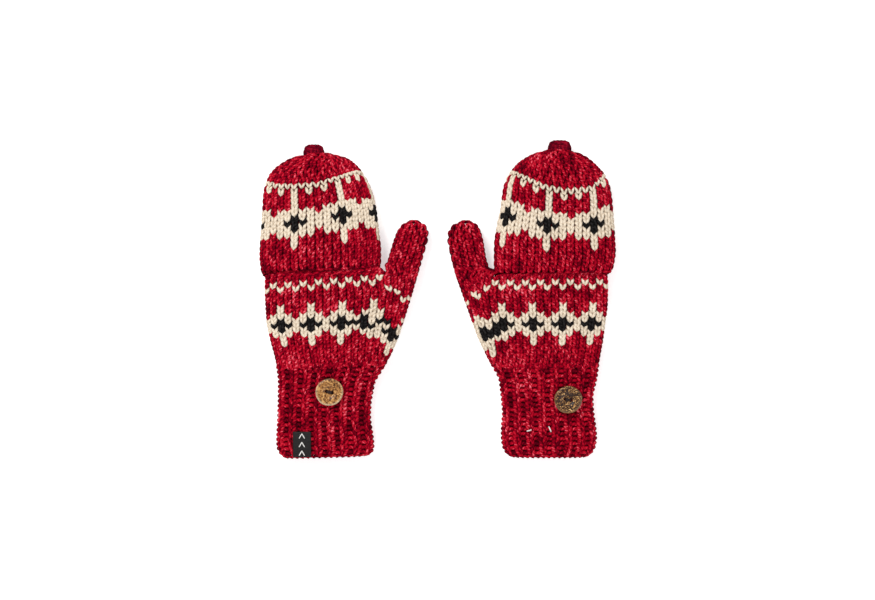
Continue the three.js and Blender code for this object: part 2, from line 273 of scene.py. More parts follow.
class Surface:
    """A tube sampled on even steps of y. u goes round it: 0 is its low-x side, 0 to 0.5 the upper side, and
    0.5 to 1 the lower. rings holds both sides of each section, from low x to high x: (y, side, point, xz)."""

    def __init__(self, ys, rings):
        self.ys = ys
        rings = rings.transpose(1, 0, 2, 3)
        y = np.broadcast_to(ys[None, :, None, None], (*rings.shape[:3], 1))
        self.points = np.concatenate([rings[..., :1], y, rings[..., 1:]], 3)
        normal = np.cross(np.gradient(self.points, axis=2), np.gradient(self.points, axis=1))
        normal[1] *= -1
        self.normals = normal / np.maximum(np.linalg.norm(normal, axis=3, keepdims=True), 1e-9)
        inner = rings[:, :, PAD:-PAD]
        self.widths = np.hypot(*np.moveaxis(np.diff(inner, axis=2), 3, 0)).sum(2)

    def sample(self, grid, y, u, upper):
        row = np.clip((y - self.ys[0]) / (self.ys[1] - self.ys[0]), 0, len(self.ys) - 1.001)
        turn = np.where(upper, (u + 0.25) % 1, (1.25 - u) % 1) - 0.25
        column = np.clip(turn * 2 * HALF + PAD, 0, HALF + 2 * PAD - 0.001)
        side = np.where(upper, 0, 1)
        r, c = row.astype(int), column.astype(int)
        fr, fc = (row - r)[..., None], (column - c)[..., None]
        low = grid[side, r, c] * (1 - fc) + grid[side, r, c + 1] * fc
        high = grid[side, r + 1, c] * (1 - fc) + grid[side, r + 1, c + 1] * fc
        return low * (1 - fr) + high * fr

    def at(self, y, u, upper=None):
        """Points and normals. upper says which side a point belongs to, as u may run past that side's end."""
        y, u = np.broadcast_arrays(np.asarray(y, dtype=float), u)
        upper = np.broadcast_to((u % 1) < 0.5 if upper is None else upper, u.shape)
        normal = self.sample(self.normals, y, u, upper)
        length = np.maximum(np.linalg.norm(normal, axis=-1, keepdims=True), 1e-9)
        return self.sample(self.points, y, u, upper), normal / length


def ease(t):
    """From 0 to 1 with a soft start and end."""
    t = np.clip(t, 0, 1)
    return t * t * (3 - 2 * t)


def rounded(rows, ys, high, reach):
    """Sections that shrink to a point at high, like an ellipse over the last reach."""
    shrink = np.sqrt(1 - (1 - np.clip((high - ys) / reach, 0, 1)) ** 2)[:, None]
    middle = np.stack([rows[:, :2].mean(1)] * 2 + [rows[:, 2:].mean(1)] * 2, 1)
    return middle + (rows - middle) * shrink


def hand_and_thumb(name, hand):
    """The surfaces of the hand, of the thumb with its gusset, and of both as one tube. Hand and gusset lie
    side by side on that one tube below the crotch."""
    ys = np.arange(-138.0, 72.0, 0.5)
    palm = sections([f"{name}_cuff", f"{name}_hand"], ys, hand, 6)
    web_y, crotch_y = hand["crotch"]
    thumb_low, thumb_tip = (corner[1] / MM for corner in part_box(f"{name}_thumb"))
    finger = rounded(sections([f"{name}_thumb"], ys, hand, 1), ys, thumb_tip + 0.8, 3.0)
    whole = palm.copy()
    bulge = np.maximum(finger[:, 1] - palm[:, 1], 0)
    first = np.argmax(ys > thumb_low + 3)
    bulge[:first] = bulge[first] * ease(1 - (ys[first] - ys[:first]) / GUSSET_FADE)
    whole[:, 1] += bulge
    whole = smooth(whole, 6)
    hand_rings, thumb_rings = [], []
    for i, y in enumerate(ys):
        web = ease((crotch_y - y) / (crotch_y - web_y))
        ring, thumb_ring = closed_sides(palm[i]), closed_sides(finger[i])
        if web > 0:
            borders = [length_of(curve) for curve in half_curves(palm[i])]
            ring = ring * (1 - web) + open_sides(whole[i], borders, False) * web
            thumb_ring = thumb_ring * (1 - web) + open_sides(whole[i], borders, True) * web
        hand_rings.append(ring)
        thumb_rings.append(thumb_ring)
    tube = Surface(ys, np.array([closed_sides(section) for section in whole]))
    return Surface(ys, np.array(hand_rings)), Surface(ys, np.array(thumb_rings)), tube


def closed_tube(names, low, high, hand, tip, radius):
    """The surface of a tube without a side opening, whose end is rounded over the length tip."""
    ys = np.arange(low, high + 0.5, 0.5)
    rows = rounded(sections(names, ys, hand, radius), ys, high, tip)
    return Surface(ys, np.array([closed_sides(row) for row in rows]))


# ---- Meshes ----

def add_mesh(name, points, faces, material, hand=None, uv=None, tone=None, crown=None, smooth_faces=True):
    """A mesh object from points in mm, turned from the mitten's own frame into the row's."""
    points = np.asarray(points, dtype=float).reshape(-1, 3).copy()
    sizes = [len(f) for f in faces]
    if hand:
        points[:, 0] = hand["x"] + hand["sign"] * points[:, 0]
    flip = bool(hand) and hand["sign"] < 0
    loops = np.concatenate([np.asarray(f)[:, ::-1].ravel() if flip else np.asarray(f).ravel() for f in faces])
    widths = np.concatenate([np.full(len(f), np.asarray(f).shape[1]) for f in faces])
    mesh = bpy.data.meshes.new(name)
    mesh.vertices.add(len(points))
    mesh.vertices.foreach_set("co", (points * MM).ravel())
    mesh.loops.add(len(loops))
    mesh.loops.foreach_set("vertex_index", loops.astype(np.int32))
    mesh.polygons.add(sum(sizes))
    mesh.polygons.foreach_set("loop_start", np.concatenate([[0], np.cumsum(widths)[:-1]]).astype(np.int32))
    mesh.polygons.foreach_set("use_smooth", np.full(sum(sizes), smooth_faces))
    if uv is not None:
        layer = mesh.uv_layers.new(name="yarn")
        values = np.concatenate([u[:, ::-1].reshape(-1, 2) if flip else u.reshape(-1, 2) for u in uv])
        layer.data.foreach_set("uv", values.astype(np.float32).ravel())
    for attribute, values in (("tone", tone), ("crown", crown)):
        if values is not None:
            layer = mesh.attributes.new(attribute, "FLOAT", "POINT")
            layer.data.foreach_set("value", np.asarray(values, dtype=np.float32))
    mesh.update(calc_edges=True)
    mesh.validate()
    mesh.materials.append(material)
    obj = bpy.data.objects.new(name, mesh)
    bpy.context.scene.collection.objects.link(obj)
    return obj


def strands(centres, normals, radii, tones, sides=7, flat=0.92):
    """Round strands along rows of centres (n, m, 3): what add_mesh needs. crown is 1 on top of the middle of
    each strand, and 0 at its ends and underneath."""
    n, m, _ = centres.shape
    tangent = np.gradient(centres, axis=1)
    tangent /= np.maximum(np.linalg.norm(tangent, axis=2, keepdims=True), 1e-9)
    side = np.cross(tangent, normals)
    side /= np.maximum(np.linalg.norm(side, axis=2, keepdims=True), 1e-9)
    up = np.cross(side, tangent)
    angle = np.arange(sides) * 2 * math.pi / sides
    spread = radii[:, :, None, None]
    across, over = np.cos(angle)[:, None], flat * np.sin(angle)[:, None]
    ring = across * side[:, :, None] + over * up[:, :, None]
    points = centres[:, :, None] + ring * spread
    index = np.arange(n * m * sides).reshape(n, m, sides)
    turned = np.roll(index, -1, 2)
    quads = np.stack([index[:, :-1], turned[:, :-1], turned[:, 1:], index[:, 1:]], -1).reshape(-1, 4)
    caps = np.concatenate([index[:, 0][:, ::-1], index[:, -1]])
    length = np.linalg.norm(np.diff(centres, axis=1), axis=2).cumsum(1)
    length = np.concatenate([np.zeros((n, 1)), length], 1) + 40 * tones[:, None]
    round_share = np.arange(sides + 1) / sides
    u0 = np.broadcast_to(length[:, :-1, None], (n, m - 1, sides))
    u1 = np.broadcast_to(length[:, 1:, None], (n, m - 1, sides))
    v0 = np.broadcast_to(round_share[:-1], (n, m - 1, sides))
    v1 = np.broadcast_to(round_share[1:], (n, m - 1, sides))
    quad_uv = np.stack([np.stack(corner, -1) for corner in ((u0, v0), (u0, v1), (u1, v1), (u1, v0))], -2)
    cap_uv = np.zeros((2 * n, sides, 2))
    # crown carries painted light and shade: the wool materials paint each strand lighter on top of its middle
    # and darker at its ends and underneath.
    middle = 1 - np.linspace(-1, 1, m) ** 4
    crown = np.broadcast_to(middle[None, :, None] * (0.5 + 0.5 * np.sin(angle)), (n, m, sides))
    return {"points": points.reshape(-1, 3), "faces": [quads, caps],
            "uv": [quad_uv.reshape(-1, 4, 2), cap_uv],
            "tone": np.repeat(tones, m * sides), "crown": crown.ravel()}


def leg_paths(place, v, u, shape, width, radius, lift, side=1, reach=1.0):
    """Centres, normals and radii of one leg of every stitch at rows v and turns u. reach shortens the leg."""
    vv = v[:, None] + shape[None, :, 1] * np.broadcast_to(reach, v.shape)[:, None]
    uu = u[:, None] + side * shape[None, :, 0] * width[:, None]
    points, normals = place(vv, uu, ((u % 1) < 0.5)[:, None])
    height = shape[None, :, 2] * (radius / LEG_RADIUS)[:, None] + lift[:, None]
    return points + normals * height[..., None], normals, shape[None, :, 3] * radius[:, None]


def plain_stitches(place, v, u, width, radius, colours=RED, drop=0.0, reach=1.0):
    """Both legs of plain stitches. The top of the yarn comes to the outer surface, less drop."""
    n = len(v)
    width, radius, colours = (np.broadcast_to(value, n) for value in (width, radius, colours))
    jitter = rng.normal(0, 0.035, (2, n))
    v, u = v + jitter[0], u + jitter[1] * width * 0.5
    swell = radius * rng.normal(1, 0.04, n)
    lift = -swell * 0.92 - 0.35 - drop
    tones = rng.random(n)
    legs = []
    for side, tone in ((-1, tones), (1, (tones + 0.37) % 1)):
        centres, normals, radii = leg_paths(place, v, u, PLAIN_LEG, width, swell, lift, side, reach)
        # Painted shade: legs whose surface turns down at the sides get a darker tone, for the light that
        # falls less on them.
        turned = 1 - np.abs(normals[:, 4, 2])
        legs.append((centres, normals, radii, tone - EDGE_SHADE * turned ** 2, colours))
    return join(legs)


def purl_bumps(place, v, u, width, radius, lift):
    """Red bumps that lie across their columns."""
    n = len(u)
    v, width, radius, lift = (np.broadcast_to(value, n) for value in (v, width, radius, lift))
    # Painted shade: every purl bump's tone is lowered by PURL_SHADE, as if it lay in shade.
    tones = rng.random(n) - PURL_SHADE
    return leg_paths(place, v, u, PURL_BUMP, width, radius, lift) + (tones, np.full(n, RED))


def join(parts):
    """Several lots of stitches as one."""
    return tuple(np.concatenate(piece) for piece in zip(*parts))


# ---- Materials ----

def nodes_of(name):
    """A new node material, with its tree and its shader."""
    material = bpy.data.materials.new(name)
    material.use_nodes = True
    tree = material.node_tree
    tree.nodes.clear()
    shader = tree.nodes.new("ShaderNodeBsdfPrincipled")
    output = tree.nodes.new("ShaderNodeOutputMaterial")
    tree.links.new(shader.outputs[0], output.inputs[0])
    return material, tree, shader


def make(tree, kind, inputs=(), **settings):
    """A new node. inputs maps a socket to a value or to the output that feeds it."""
    node = tree.nodes.new(kind)
    for key, value in settings.items():
        setattr(node, key, value)
    for key, value in dict(inputs).items():
        if isinstance(value, bpy.types.NodeSocket):
            tree.links.new(value, node.inputs[key])
        else:
            node.inputs[key].default_value = value
    return node


def maths(tree, operation, a, b=0.0):
    """The output of a Math node."""
    return make(tree, "ShaderNodeMath", {0: a, 1: b}, operation=operation).outputs[0]


def ramp(tree, value, stops):
    """A colour ramp over a value, from (place, colour) stops."""
    node = make(tree, "ShaderNodeValToRGB", {0: value})
    bands = node.color_ramp.elements
    while len(bands) < len(stops):
        bands.new(0.5)
    for band, (place, colour) in zip(bands, stops):
        band.position = place
        band.color = (*colour, 1)
    return node.outputs[0]


def add(tree, *terms):
    """The sum of two or more values."""
    total = terms[0]
    for term in terms[1:]:
        total = maths(tree, "ADD", total, term)
    return total


def spread(tree, value, amount):
    """A value round 0.5 turned into one round 0, amount times as wide."""
    return maths(tree, "MULTIPLY", maths(tree, "SUBTRACT", value, 0.5), amount)


def yarn_material(name, stops, patch, streak, ply, tone, depth):
    """Plied wool: slow patches of colour, streaks of fibres and two plies that wind along each strand, with
    painted light on each strand's crown and painted shade at its ends and underneath.
    """
    material, tree, shader = nodes_of(name)
    place = make(tree, "ShaderNodeTexCoord").outputs["Object"]
    patches = make(tree, "ShaderNodeTexNoise", {"Vector": place, "Scale": 62.0, "Detail": 2.0}).outputs[0]
    uv = make(tree, "ShaderNodeSeparateXYZ", {0: make(tree, "ShaderNodeUVMap", uv_map="yarn").outputs[0]})
    length, turn = uv.outputs[0], maths(tree, "MULTIPLY", uv.outputs[1], 2 * math.pi)
    wound = maths(tree, "ADD", turn, maths(tree, "MULTIPLY", length, 1.05))
    fibres = make(tree, "ShaderNodeCombineXYZ", {
        0: maths(tree, "MULTIPLY", length, 0.24), 1: maths(tree, "COSINE", wound),
        2: maths(tree, "SINE", wound)}).outputs[0]
    streaks = make(tree, "ShaderNodeTexNoise", {
        "Vector": fibres, "Scale": 1.25, "Detail": 3.0, "Roughness": 0.6}).outputs[0]
    twist = maths(tree, "SINE", maths(tree, "MULTIPLY", wound, 2.0))
    # The tone attribute is a random tone for each leg, lowered as painted shade where the wool turns down at
    # the sides and on the purl bumps.
    random = make(tree, "ShaderNodeAttribute", attribute_name="tone").outputs["Fac"]
    crown = make(tree, "ShaderNodeAttribute", attribute_name="crown").outputs["Fac"]
    # depth sets the painted light and shade of the crown attribute: lighter on top of each strand, darker at
    # its ends and underneath.
    value = add(tree, 0.47 - 0.3 * depth, spread(tree, patches, patch), spread(tree, streaks, streak),
                spread(tree, random, tone), spread(tree, crown, depth), maths(tree, "MULTIPLY", twist, ply))
    tree.links.new(ramp(tree, value, stops), shader.inputs["Base Color"])
    shader.inputs["Roughness"].default_value = 0.9
    shader.inputs["Specular IOR Level"].default_value = 0.03
    fine = make(tree, "ShaderNodeTexNoise", {"Vector": place, "Scale": 1500.0, "Detail": 2.0}).outputs[0]
    height = maths(tree, "ADD", maths(tree, "MULTIPLY", twist, 0.5), fine)
    bump = make(tree, "ShaderNodeBump", {"Height": height, "Strength": 0.6, "Distance": 0.0006})
    tree.links.new(bump.outputs[0], shader.inputs["Normal"])
    return material


def mottled_material(name, stops, scale, roughness, stretch=(1, 1, 1), bump_mm=0.3, specular=0.3):
    """Noise in the object's own coordinates, through a colour ramp, with the same noise as relief."""
    material, tree, shader = nodes_of(name)
    place = make(tree, "ShaderNodeTexCoord").outputs["Object"]
    place = make(tree, "ShaderNodeMapping", {"Vector": place, "Scale": stretch}).outputs[0]
    noise = make(tree, "ShaderNodeTexNoise", {
        "Vector": place, "Scale": scale, "Detail": 4.0, "Roughness": 0.62}).outputs[0]
    tree.links.new(ramp(tree, noise, stops), shader.inputs["Base Color"])
    shader.inputs["Roughness"].default_value = roughness
    shader.inputs["Specular IOR Level"].default_value = specular
    bump = make(tree, "ShaderNodeBump", {"Height": noise, "Strength": 0.5, "Distance": bump_mm * MM})
    tree.links.new(bump.outputs[0], shader.inputs["Normal"])
    return material


def coconut_material(name, stops, rim, scale, distortion):
    """Polished shell with flecks. The tone attribute says how far each point belongs to the pale rim."""
    material, tree, shader = nodes_of(name)
    place = make(tree, "ShaderNodeTexCoord").outputs["Object"]
    flecks = make(tree, "ShaderNodeTexNoise", {
        "Vector": place, "Scale": scale, "Detail": 3.0, "Roughness": 0.6,
        "Distortion": distortion}).outputs[0]
    share = make(tree, "ShaderNodeAttribute", attribute_name="tone").outputs["Fac"]
    shell = ramp(tree, flecks, stops)
    pale = ramp(tree, flecks, [(0.3, [0.55 * c for c in rim]), (0.6, rim)])
    colour = make(tree, "ShaderNodeMix", {0: share, 6: shell, 7: pale}, data_type="RGBA").outputs[2]
    tree.links.new(colour, shader.inputs["Base Color"])
    shader.inputs["Roughness"].default_value = 0.38
    shader.inputs["Specular IOR Level"].default_value = 0.3
    bump = make(tree, "ShaderNodeBump", {"Height": flecks, "Strength": 0.4, "Distance": 0.1 * MM})
    tree.links.new(bump.outputs[0], shader.inputs["Normal"])
    return material


RED_YARN = yarn_material("marled_red_wool", [
    (0.10, (0.05, 0.0, 0.004)), (0.32, (0.15, 0.0, 0.007)), (0.52, (0.31, 0.0, 0.011)),
    (0.70, (0.51, 0.005, 0.020)), (0.84, (0.68, 0.035, 0.065)), (0.97, (0.87, 0.24, 0.30)),
], patch=0.6, streak=1.4, ply=0.06, tone=0.42, depth=0.6)
# A darker copy of the red wool, used for the tip loop and the stitches that sew it: painted shade, for the
# loop that lies in shadow at the back of the dome.
SHADED_RED_YARN = yarn_material("red_wool_painted_shade", [
    (0.15, (0.03, 0.0, 0.005)), (0.5, (0.14, 0.001, 0.010)), (0.75, (0.33, 0.004, 0.02)),
    (0.95, (0.52, 0.04, 0.06)),
], patch=0.6, streak=1.2, ply=0.10, tone=0.15, depth=0.35)
CREAM_YARN = yarn_material("cream_wool", [
    (0.08, (0.24, 0.18, 0.12)), (0.28, (0.52, 0.42, 0.31)), (0.52, (0.76, 0.64, 0.50)),
    (0.9, (0.93, 0.83, 0.68)),
], patch=0.3, streak=0.8, ply=0.08, tone=0.1, depth=0.5)
BLACK_YARN = yarn_material("black_wool", [
    (0.1, (0.003, 0.003, 0.003)), (0.5, (0.010, 0.009, 0.009)), (0.9, (0.04, 0.036, 0.036)),
], patch=0.2, streak=0.9, ply=0.10, tone=0.1, depth=0.3)
YARNS = [RED_YARN, CREAM_YARN, BLACK_YARN]
# The lining is painted much darker than the yarn: painted shade for the gaps between the stitches, where it
# shows.
SHADED_LINING = mottled_material(
    "wool_lining_painted_shade", [(0.3, (0.045, 0.0, 0.004)), (0.6, (0.12, 0.001, 0.008))], 400.0, 0.95,
    bump_mm=0.8, specular=0.05)
SHELLS = {
    "left": coconut_material("pale_coconut", [
        (0.36, (0.03, 0.010, 0.003)), (0.47, (0.19, 0.07, 0.016)), (0.55, (0.42, 0.19, 0.05)),
        (0.68, (0.70, 0.43, 0.17)),
    ], (0.76, 0.58, 0.36), 560.0, 0.6),
    "right": coconut_material("dark_coconut", [
        (0.46, (0.016, 0.005, 0.002)), (0.54, (0.065, 0.022, 0.007)), (0.585, (0.42, 0.19, 0.05)),
        (0.66, (0.78, 0.50, 0.21)),
    ], (0.26, 0.14, 0.06), 360.0, 2.2),
}
THREAD = mottled_material(
    "dark_sewing_thread", [(0.3, (0.008, 0.003, 0.003)), (0.7, (0.03, 0.012, 0.010))], 900.0, 0.7)
WHITE_THREAD = mottled_material(
    "white_thread", [(0.3, (0.62, 0.60, 0.56)), (0.7, (0.9, 0.89, 0.86))], 900.0, 0.7)
BLACK_TAPE = mottled_material(
    "woven_black_tape", [(0.3, (0.005, 0.004, 0.004)), (0.7, (0.018, 0.016, 0.016))], 1100.0, 0.62,
    (0.35, 2.4, 1), specular=0.2)
WHITE_TAPE = mottled_material(
    "woven_white_tape", [(0.3, (0.66, 0.65, 0.61)), (0.7, (0.86, 0.85, 0.82))], 1100.0, 0.7, (0.35, 2.4, 1))


# ---- Knitting ----

def knit_pieces(name, body, stitches, hand, replaces=()):
    """One object per colour of yarn, each attached to the body. The CAD nodes in replaces are hidden."""
    for colour, material in enumerate(YARNS):
        keep = stitches[4] == colour
        if not keep.any():
            continue
        mesh = strands(*(part[keep] for part in stitches[:4]))
        mesh["points"][:, 2] = np.maximum(mesh["points"][:, 2], TABLE_GAP)
        obj = add_mesh(f"{name}_{COLOUR_NAMES[colour]}_knit", material=material, hand=hand, **mesh)
        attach(obj, body)
    if replaces:
        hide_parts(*replaces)


def lining(name, body, surface, hand, y_from, y_to, cap=False, out=SHELL_OUT, inside=SHELL_IN):
    """The fabric behind the stitches: a shell between two depths, from y_from (a function of u) to y_to. Its
    dark colour is painted shade for the gaps between the stitches.
    """
    count, step, inset = 64, 2.5, 0.002
    u = np.concatenate([np.linspace(side + inset, side + 0.5 - inset, count // 2) for side in (0, 0.5)])
    low = np.broadcast_to(y_from(u) if callable(y_from) else y_from, count)
    rows = max(3, int((y_to - low.min()) / step))
    share = (np.arange(rows + 1) / rows)[:, None]
    if cap:
        share = np.sin(share * math.pi / 2) ** 0.9
    y = low[None] + (y_to - low[None]) * share
    points, normals = surface.at(y, np.broadcast_to(u, y.shape))
    layers = np.stack([points - normals * out, points - normals * inside])
    if cap:
        layers[:, -1] = layers[:, -1].mean(1, keepdims=True)
    index = np.arange(layers[..., 0].size).reshape(2, rows + 1, count)
    right = np.roll(index, -1, 2)
    outer = np.stack([index[0, :-1], index[0, 1:], right[0, 1:], right[0, :-1]], -1)
    inner = np.stack([index[1, :-1], right[1, :-1], right[1, 1:], index[1, 1:]], -1)
    faces = [outer.reshape(-1, 4), inner.reshape(-1, 4)]
    for row in (0, rows):
        rim = np.stack([index[0, row], right[0, row], right[1, row], index[1, row]], -1)
        faces.append(rim if row == 0 else rim[:, ::-1])
    obj = add_mesh(name, layers, faces, SHADED_LINING, hand)
    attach(obj, body)


def middles(columns):
    """The middle turn of every column."""
    return (np.arange(columns) + 0.5) / columns


def grid_of(rows, columns):
    """Every (row, column) pair, with the middle turn u of its column."""
    v, j = np.meshgrid(np.asarray(rows, dtype=float), np.arange(columns), indexing="ij")
    return v.ravel(), j.ravel(), middles(columns)[j.ravel()]


def from_chart(chart, row, column, colours):
    """The colours with those of a small chart laid over them, whose first row and column are 0."""
    out = colours.copy()
    for r, line in enumerate(chart):
        for c, symbol in enumerate(line):
            out[(row == r) & (column == c)] = SYMBOLS[symbol]
    return out


def from_middle(column, centre, repeat):
    """How many columns away the middle of the nearest motif is."""
    d = (column - centre) % repeat
    return np.minimum(d, repeat - d)


def band_colour(row, column, centre):
    """The lower band's chart, from its first row at 5 below the upper dots."""
    d = from_middle(column, centre, 4)
    out = np.full(row.shape, RED)
    k = row - 4
    out[np.isin(k, [1, 2, 8, 9]) & (d == 0)] = CREAM
    out[np.isin(k, [3, 7]) & (d <= 1)] = CREAM
    out[np.isin(k, [4, 6])] = CREAM
    out[np.isin(k, [4, 6]) & (d == 0)] = BLACK
    out[k == 5] = CREAM
    out[(k == 5) & (d <= 1)] = BLACK
    odd = column % 2 != centre % 2
    out[(row == 0) & odd] = CREAM
    out[(row == 1) & ~odd] = CREAM
    return out


def hood_colour(row, column, centre):
    """The hood's chart, from its top cream row, 0, down to the tips of the flowers, 11."""
    d = from_middle(column, centre, 6)
    out = np.full(row.shape, RED)
    out[row == 0] = CREAM
    out[(row == 1) & (d % 2 == 0)] = CREAM
    out[np.isin(row, [2, 3, 4, 10, 11]) & (d == 0)] = CREAM
    out[np.isin(row, [5, 9]) & (d <= 2)] = CREAM
    out[np.isin(row, [6, 7, 8])] = CREAM
    out[np.isin(row, [6, 8]) & (d == 0)] = BLACK
    out[(row == 7) & (d <= 1)] = BLACK
    return out


def knit_hand(name, hand, palm, tube):
    """The hand, and the cuff, whose ribs run right round hand and gusset."""
    slope_y, slope = np.array(hand["slopes"]).T
    web_y = hand["crotch"][0]

    def place_on(surface, pitch):
        def place(v, u, upper):
            y = v * pitch
            first, _ = surface.at(y, u, upper)
            return surface.at(y + np.interp(y, slope_y, slope) * (first[..., 0] + 3), u, upper)
        return place

    # Plain rows: row 0 is the upper row of dots, and negative rows go on under the hood.
    last = int((FIRST_DOT_Y - RIB_TOP) / ROW)
    rows, columns, u = grid_of(np.arange(-4, last + 1), HAND_COLUMNS)
    corner_column = np.where(u < 0.5, columns - (HAND_COLUMNS // 2 - 4), -1)
    colours = from_chart(hand["corner"], rows - 5, corner_column, band_colour(rows, columns, 2))
    place = place_on(palm, ROW)
    stitches = plain_stitches(place, FIRST_DOT_Y / ROW - rows, u, 1 / HAND_COLUMNS, LEG_RADIUS, colours)
    knit_pieces(f"{name}_hand", "mittens", stitches, hand, [f"{name}_hand"])

    # Ribbing: a plain column and a purl column by turns, and a bumpy lower edge.
    ribs = HAND_COLUMNS // 2
    place = place_on(tube, RIB_ROW)
    rows, _, u = grid_of(np.arange(RIB_ROWS), ribs)
    v = RIB_TOP / RIB_ROW - rows
    knit = plain_stitches(place, v, u, RIB_KNIT_WIDTH / ribs, RIB_KNIT_RADIUS, RED, RIB_KNIT_DROP)
    purl = purl_bumps(place, v, u + 0.5 / ribs, RIB_PURL_WIDTH / ribs, RIB_PURL_RADIUS, RIB_PURL_LIFT)
    edge_u = middles(HAND_COLUMNS)
    edge_v = np.full(HAND_COLUMNS, RIB_TOP / RIB_ROW - RIB_ROWS + 0.25)
    edge = purl_bumps(place, edge_v, edge_u, 1.0 / HAND_COLUMNS, 1.35, -2.2)
    knit_pieces(f"{name}_cuff", "mittens", join([knit, purl, edge]), hand, [f"{name}_cuff"])
    lining(f"{name}_wrist_lining", "mittens", tube, hand, WRIST_Y, web_y + 2)
    lining(f"{name}_hand_lining", "mittens", palm, hand, web_y, HAND_END_Y)


def knit_thumb(name, hand, thumb):
    """The thumb with its gusset, in rows that drop outwards. Each has the stitches that its width takes."""
    inner_edge = thumb.points[0, :, PAD, 0]
    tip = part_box(f"{name}_thumb")[1][1] / MM

    def place(v, u, upper):
        start = v * THUMB_ROW
        edge = np.interp(start, thumb.ys, inner_edge)
        y = start
        for _ in range(3):
            y = start - STITCH_LEAN * level(start) * (thumb.at(y, u, upper)[0][..., 0] - edge)
        return thumb.at(np.minimum(y, tip + 0.3), u, upper)

    def level(y):
        """1 where the rows drop outwards, and 0 at the tip, where they lie square."""
        return ease((tip - y) / THUMB_LEVEL_OFF)

    rows, turns, widths, colours = [], [], [], []
    first_row = -math.ceil((tip - THUMB_TIP_MARGIN - THUMB_DOT_Y) / THUMB_ROW)
    for row in range(first_row, int((THUMB_DOT_Y - RIB_TOP) / THUMB_ROW) + 1):
        y = THUMB_DOT_Y - row * THUMB_ROW
        for side in (0, 1):
            count = int(np.interp(y, thumb.ys, thumb.widths[side]) / THUMB_PITCH + 0.5)
            column = np.arange(count)
            turn = (column + 0.5) / max(count, 1) * 0.5
            # Each column starts a little lower than the last, besides the lean of its own stitches.
            steps = (THUMB_LEAN - STITCH_LEAN) * level(y) * THUMB_PITCH / THUMB_ROW * (column + 0.5)
            rows.append(row + steps)
            turns.append(turn if side == 0 else 1 - turn)
            widths.append(np.full(count, 0.5 / max(count, 1)))
            colours.append(from_chart(hand["gusset"], np.full(count, row), column, np.full(count, RED)))
    rows, turns, widths, colours = (np.concatenate(part) for part in (rows, turns, widths, colours))
    stitches = plain_stitches(place, THUMB_DOT_Y / THUMB_ROW - rows, turns, widths, LEG_RADIUS, colours)
    knit_pieces(f"{name}_thumb", "mittens", stitches, hand, [f"{name}_thumb"])
    lining(f"{name}_thumb_lining", "mittens", thumb, hand, hand["crotch"][0], tip - 2.0, cap=True)


def finger_web(name, hand, palm):
    """The wall between the fingers' openings, with a bumpy edge where it meets the hand."""
    node = frame["nodes"][f"{name}_finger_web"]
    mesh = node.data.copy()
    mesh.materials.clear()
    # The wall takes the lining's dark colour, as painted shade inside the openings.
    mesh.materials.append(SHADED_LINING)
    wall = bpy.data.objects.new(f"{name}_finger_wall", mesh)
    wall.matrix_world = node.matrix_world
    bpy.context.scene.collection.objects.link(wall)
    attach(wall, "mittens")
    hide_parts(f"{name}_finger_web")
    u = middles(HAND_COLUMNS)
    middle = hand["seam_y"] + KNUCKLE_PAST_SEAM

    def place(v, w, upper):
        across = palm.at(middle, w, upper)[0][..., 0]
        return palm.at(middle + hand["tilt"] * across + v, w, upper)

    rim = purl_bumps(place, np.zeros(HAND_COLUMNS), u, 1 / HAND_COLUMNS, 1.25, -1.5)
    knit_pieces(f"{name}_knuckle_edge", "mittens", rim, hand)


